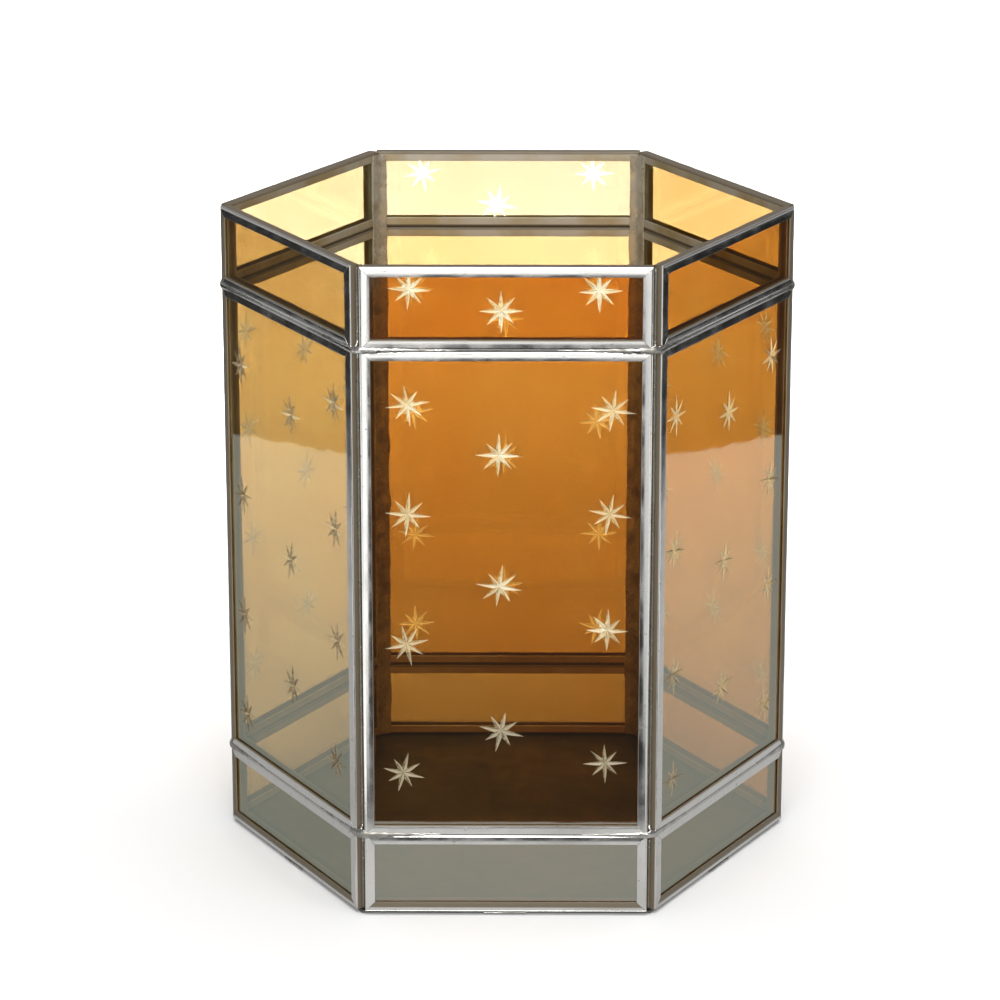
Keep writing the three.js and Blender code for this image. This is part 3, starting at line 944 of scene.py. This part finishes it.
def inner_fillet(corner, material):
    """The mottled strip of solder up the inside of a corner."""
    angle = corner * TURN
    outward = Vector((math.cos(angle), math.sin(angle), 0))
    across = Vector((-outward.y, outward.x, 0))
    apex = INNER_APOTHEM / COS30
    leg = FILLET_LEG * (SIDE_FILLET if CORNER_NAMES[corner] in ("left", "right") else 1)
    points = []
    rings = 0
    z = BOTTOM_Z + FILLET_LOW
    while z < RIM_Z - FILLET_HIGH:
        wide_noise = noise.noise(Vector((corner * 3.0, 5, z / FILLET_WIDE_LENGTH)))
        deep_noise = noise.noise(Vector((corner * 3.0, 1, z / FILLET_DEEP_LENGTH)))
        wide = leg * (1 + FILLET_WIDE_WAVE * wide_noise)
        deep = FILLET_HOLLOW * (1 + FILLET_DEEP_WAVE * deep_noise)
        edge = apex - wide / 2
        reach = wide * COS30
        outline = (
            (apex + FILLET_APEX, 0), (edge, reach), (edge - FILLET_EDGE, reach * 0.93),
            (apex - deep - FILLET_BULGE, reach * 0.45), (apex - deep, 0),
            (apex - deep - FILLET_BULGE, -reach * 0.45),
            (edge - FILLET_EDGE, -reach * 0.93), (edge, -reach),
        )
        for out, sidewards in outline:
            points.append(outward * out + across * sidewards + Vector((0, 0, z)))
        rings += 1
        z += FILLET_STEP
    count = len(outline)
    polygons = ring_polygons(rings, count, False)
    polygons.append(tuple(range(count)))
    polygons.append(tuple(range((rings - 1) * count, rings * count)))
    piece = make_object(f"inner_solder_{CORNER_NAMES[corner]}", points, polygons, [material], smooth=True)
    piece.data.set_sharp_from_angle(angle=FILLET_SHARP)
    claim(piece, "solder", f"fillet_{CORNER_NAMES[corner]}")


def floor_tack(face, material):
    """Solder in the step between the floor's edge and the frame over it."""
    low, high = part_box(f"tack_{FACE_NAMES[face]}")
    draw = random.Random(f"tack {face}")
    centre = (low + high) / 2
    along = face_matrix(face).col[0].to_3d()
    turn = (face + 0.5) * TURN - math.pi / 2
    blobs = []
    offset = -TACK_REACH
    while offset <= TACK_REACH:
        size = draw.uniform(*TACK_SPREAD)
        radii = [radius * size for radius in TACK_SIZE]
        blobs.append((centre + along * offset, radii, turn))
        offset += TACK_STEP
    piece = blobs_to_solder(f"floor_solder_{FACE_NAMES[face]}", blobs, material)
    claim(piece, "solder", f"tack_{FACE_NAMES[face]}")


# ---- floor plate ----
def floor_key(sector, ring, step):
    """One name for each point of the six-sided grid, also where two sectors share it."""
    if ring == 0:
        return (0, 0, 0)
    if step == ring:
        return ((sector + 1) % FACES, ring, 0)
    return (sector, ring, step)


def floor_point(sector, ring, step):
    """A point of the buckled upper side."""
    radius = plate_high.x
    angle = sector * TURN
    a = Vector((math.cos(angle), math.sin(angle), 0)) * radius
    b = Vector((math.cos(angle + TURN), math.sin(angle + TURN), 0)) * radius
    at = (a + (b - a) * (step / ring if ring else 0)) * (ring / FLOOR_STEPS)
    flat_rim = 1 - (ring / FLOOR_STEPS) ** 4
    rise = FLOOR_BUCKLE * (noise.noise(at / FLOOR_WAVE) + 0.25) * flat_rim
    return Vector((at.x, at.y, plate_high.z + rise))


def floor_piece(material):
    """A slightly buckled six-sided sheet."""
    points = []
    polygons = []
    index = {}

    def vertex(*place):
        key = floor_key(*place)
        if key not in index:
            index[key] = len(points)
            points.append(floor_point(*key))
        return index[key]

    for sector in range(FACES):
        for ring in range(1, FLOOR_STEPS + 1):
            for step in range(ring):
                here = vertex(sector, ring, step)
                beside = vertex(sector, ring, step + 1)
                within = vertex(sector, ring - 1, min(step, ring - 1))
                polygons.append((here, beside, within))
                if step < ring - 1:
                    polygons.append((beside, vertex(sector, ring - 1, step + 1), within))
    rim = [vertex(sector, FLOOR_STEPS, step) for sector in range(FACES) for step in range(FLOOR_STEPS)]
    under = []
    for i in rim:
        under.append(len(points))
        points.append(Vector((points[i].x, points[i].y, plate_low.z)))
    for i in range(len(rim)):
        k = (i + 1) % len(rim)
        polygons.append((rim[i], rim[k], under[k], under[i]))
    polygons.append(tuple(under))
    piece = make_object("floor_sheet", points, polygons, [material], smooth=True)
    piece.data.set_sharp_from_angle(angle=FLOOR_SHARP)
    claim(piece, "floor_sheet", "floor_plate")


# ---- studio ----
def stage_plane(name, low, high, z, material):
    points = [(low[0], low[1], z), (high[0], low[1], z), (high[0], high[1], z), (low[0], high[1], z)]
    plane = make_object(name, [Vector(p) for p in points], [(0, 1, 2, 3)], [material])
    return plane


def plain_material(name, colour, roughness):
    material, tree, output = new_material(name)
    shader = add_node(tree, "ShaderNodeBsdfPrincipled", in_Roughness=roughness)
    shader.inputs["Base Color"].default_value = (*colour, 1)
    shader.inputs["Specular IOR Level"].default_value = 0.0
    tree.links.new(shader.outputs[0], output.inputs["Surface"])
    return material


def studio_floor_material():
    """A pale floor that goes over into the white backdrop where the camera sees it far off."""
    material, tree, output = new_material("studio_floor")
    shader = add_node(tree, "ShaderNodeBsdfDiffuse", in_Roughness=0.0)
    shader.inputs["Color"].default_value = (*STUDIO_PALE, 1)
    glow = add_node(tree, "ShaderNodeEmission", in_Strength=1.0)
    place = add_node(tree, "ShaderNodeTexCoord")
    length = add_node(tree, "ShaderNodeVectorMath", operation="LENGTH")
    tree.links.new(place.outputs["Object"], length.inputs[0])
    far_off = ramp(tree, length.outputs["Value"], FADE_START, FADE_END, 0.0, 1.0)
    seen = add_node(tree, "ShaderNodeLightPath").outputs["Is Camera Ray"]
    factor = arithmetic(tree, "MULTIPLY", far_off, seen)
    tree.links.new(mix_shader(tree, factor, shader.outputs[0], glow.outputs[0]), output.inputs["Surface"])
    material.cycles.emission_sampling = "NONE"
    return material


def glossy_only(card):
    """The card shows only in reflections."""
    card.visible_camera = False
    card.visible_diffuse = False
    card.visible_transmission = False
    card.visible_shadow = False
    card.visible_volume_scatter = False


def area_light(name, place, aim, size, power):
    light = bpy.data.lights.new(name, "AREA")
    light.shape = "RECTANGLE"
    light.size, light.size_y = size
    light.energy = power
    lamp = bpy.data.objects.new(name, light)
    lamp.location = place
    lamp.rotation_euler = (Vector(aim) - Vector(place)).to_track_quat("-Z", "Y").to_euler()
    bpy.context.scene.collection.objects.link(lamp)
    return lamp


def glow_material(name, strength):
    material, tree, output = new_material(name)
    glow = add_node(tree, "ShaderNodeEmission", in_Strength=strength)
    tree.links.new(glow.outputs[0], output.inputs["Surface"])
    return material


def build_world():
    """White where the camera looks past the floor, dim overhead for what the metal reflects."""
    world = bpy.data.worlds.new("studio")
    bpy.context.scene.world = world
    world.use_nodes = True
    tree = world.node_tree
    background = tree.nodes["Background"]
    place = add_node(tree, "ShaderNodeTexCoord")
    split = add_node(tree, "ShaderNodeSeparateXYZ")
    tree.links.new(place.outputs["Generated"], split.inputs[0])
    fade = ramp(tree, split.outputs["Z"], OVERHEAD_FROM, OVERHEAD_TO, 0.0, 1.0)
    gradient = mix_colour(tree, fade, HORIZON_GREY, OVERHEAD_GREY)
    seen = add_node(tree, "ShaderNodeLightPath").outputs["Is Camera Ray"]
    tree.links.new(mix_colour(tree, seen, gradient, (1.0, 1.0, 1.0)), background.inputs["Color"])


def build_studio(back_panes):
    """A pale floor, cards that only reflections see, and soft lamps; one lamp is for the back panes."""
    back_glass = bpy.data.collections.new("back_glass")
    for pane in back_panes:
        back_glass.objects.link(pane)
    corner = (STUDIO_HALF, STUDIO_HALF)
    opposite = (-STUDIO_HALF, -STUDIO_HALF)
    stage_plane("studio_floor", opposite, corner, -STUDIO_DROP, studio_floor_material())
    looks = {"dark": plain_material("dark_card", DARK_CARD, 0.9)}
    for name, strength in CARD_GLOWS.items():
        looks[name] = glow_material(f"{name}_card", strength)
    cards = (
        ("card_front", (-FRONT_HALF, FRONT_START), (FRONT_HALF, CARD_NEAR), "dark", 1),
        ("card_bounce", (-BOUNCE_REACH, FRONT_START), (-FRONT_HALF, CARD_NEAR), "white", 1),
        ("card_pale", (FRONT_HALF, FRONT_START), (BOUNCE_REACH, CARD_NEAR), "pale", 1),
        ("card_under_left", (-UNDER_REACH, CARD_NEAR), (0.0, CARD_FAR), "left_grey", 1),
        ("card_under_right", (0.0, CARD_NEAR), (UNDER_REACH, CARD_FAR), "right_grey", 1),
        ("card_step", (-STEP_HALF, CARD_NEAR), (STEP_HALF, -APOTHEM), "front_grey", 2),
        ("card_left", (-SIDE_REACH, CARD_START), (-UNDER_REACH, CARD_FAR), "dark", 1),
        ("card_right", (UNDER_REACH, CARD_START), (SIDE_REACH, CARD_FAR), "dark", 1),
    )
    for name, low, high, look, layer in cards:
        glossy_only(stage_plane(name, low, high, layer * CARD_LAYER, looks[look]))
    build_world()
    area_light("front", *FRONT_LAMP)
    area_light("top", *TOP_LAMP)
    for name, x, y, wide, power in FLOOR_LAMPS:
        lamp = area_light(name, (x, y, LAMP_HEIGHT), (x, y, 0.0), (wide, LAMP_DEPTH), power)
        lamp.data.spread = LAMP_SPREAD
    behind = area_light("behind", *BACK_LAMP)
    behind.visible_glossy = False
    behind.light_linking.receiver_collection = back_glass


def build_camera():
    """A long lens well above the rim, a shade to the right of straight on."""
    level = math.cos(CAMERA_ELEVATION)
    back = Vector((
        math.sin(CAMERA_AZIMUTH) * level,
        -math.cos(CAMERA_AZIMUTH) * level,
        math.sin(CAMERA_ELEVATION),
    ))
    across = Vector((math.cos(CAMERA_AZIMUTH), math.sin(CAMERA_AZIMUTH), 0))
    aim = Vector((0, 0, MIDDLE.z)) + across * CAMERA_TRUCK + back.cross(across) * CAMERA_RISE
    data = bpy.data.cameras.new("camera")
    data.lens = CAMERA_LENS
    data.sensor_width = 36
    camera = bpy.data.objects.new("camera", data)
    camera.location = aim + back * CAMERA_DISTANCE
    camera.rotation_euler = (-back).to_track_quat("-Z", "Y").to_euler()
    bpy.context.scene.collection.objects.link(camera)
    bpy.context.scene.camera = camera


def set_film():
    scene = bpy.context.scene
    scene.view_settings.view_transform = "Standard"
    scene.cycles.max_bounces = 14
    scene.cycles.transparent_max_bounces = 32
    scene.cycles.glossy_bounces = 6
    scene.cycles.use_denoising = True


def build_lantern():
    plated = plated_material()
    bright_solder = solder_material("bright_solder", SOLDER_GREY, SOLDER_DARK, 1.0)
    groove_shade_solder = solder_material("groove_shade_solder", GROOVE_SHADE_GREY, SHADE_AND_STRIP_OLIVE, 0.5)
    fillet_solder = solder_material("fillet_solder", FILLET_PALE, FILLET_DARK, 0.6)
    skin = glass_material("amber_skin", True)
    clear = glass_material("clear_side", False)
    glass = {}
    back_panes = []
    # each look has its star cut painted lit and painted in shade
    for look, (painted_lit_slope, painted_shade_slope) in STAR_PAINTED_LOOKS.items():
        light = cut_material(f"star_painted_lit_{look}", *painted_lit_slope)
        dark = cut_material(f"star_painted_shade_{look}", *painted_shade_slope)
        glass[look] = [skin, light, clear, dark]
    for tier in TIER_NAMES:
        for face in range(FACES):
            frame_piece(tier, face, plated)
            pane = pane_piece(tier, face, glass[LOOK_OF_FACE[FACE_NAMES[face]]])
            if FACE_NAMES[face] == "back":
                back_panes.append(pane)
    for corner in range(FACES):
        corner_solder(corner, bright_solder, groove_shade_solder)
        inner_fillet(corner, fillet_solder)
    for face in range(FACES):
        floor_tack(face, bright_solder)
    floor_piece(floor_material())
    return back_panes


build_studio(build_lantern())
build_camera()
set_film()
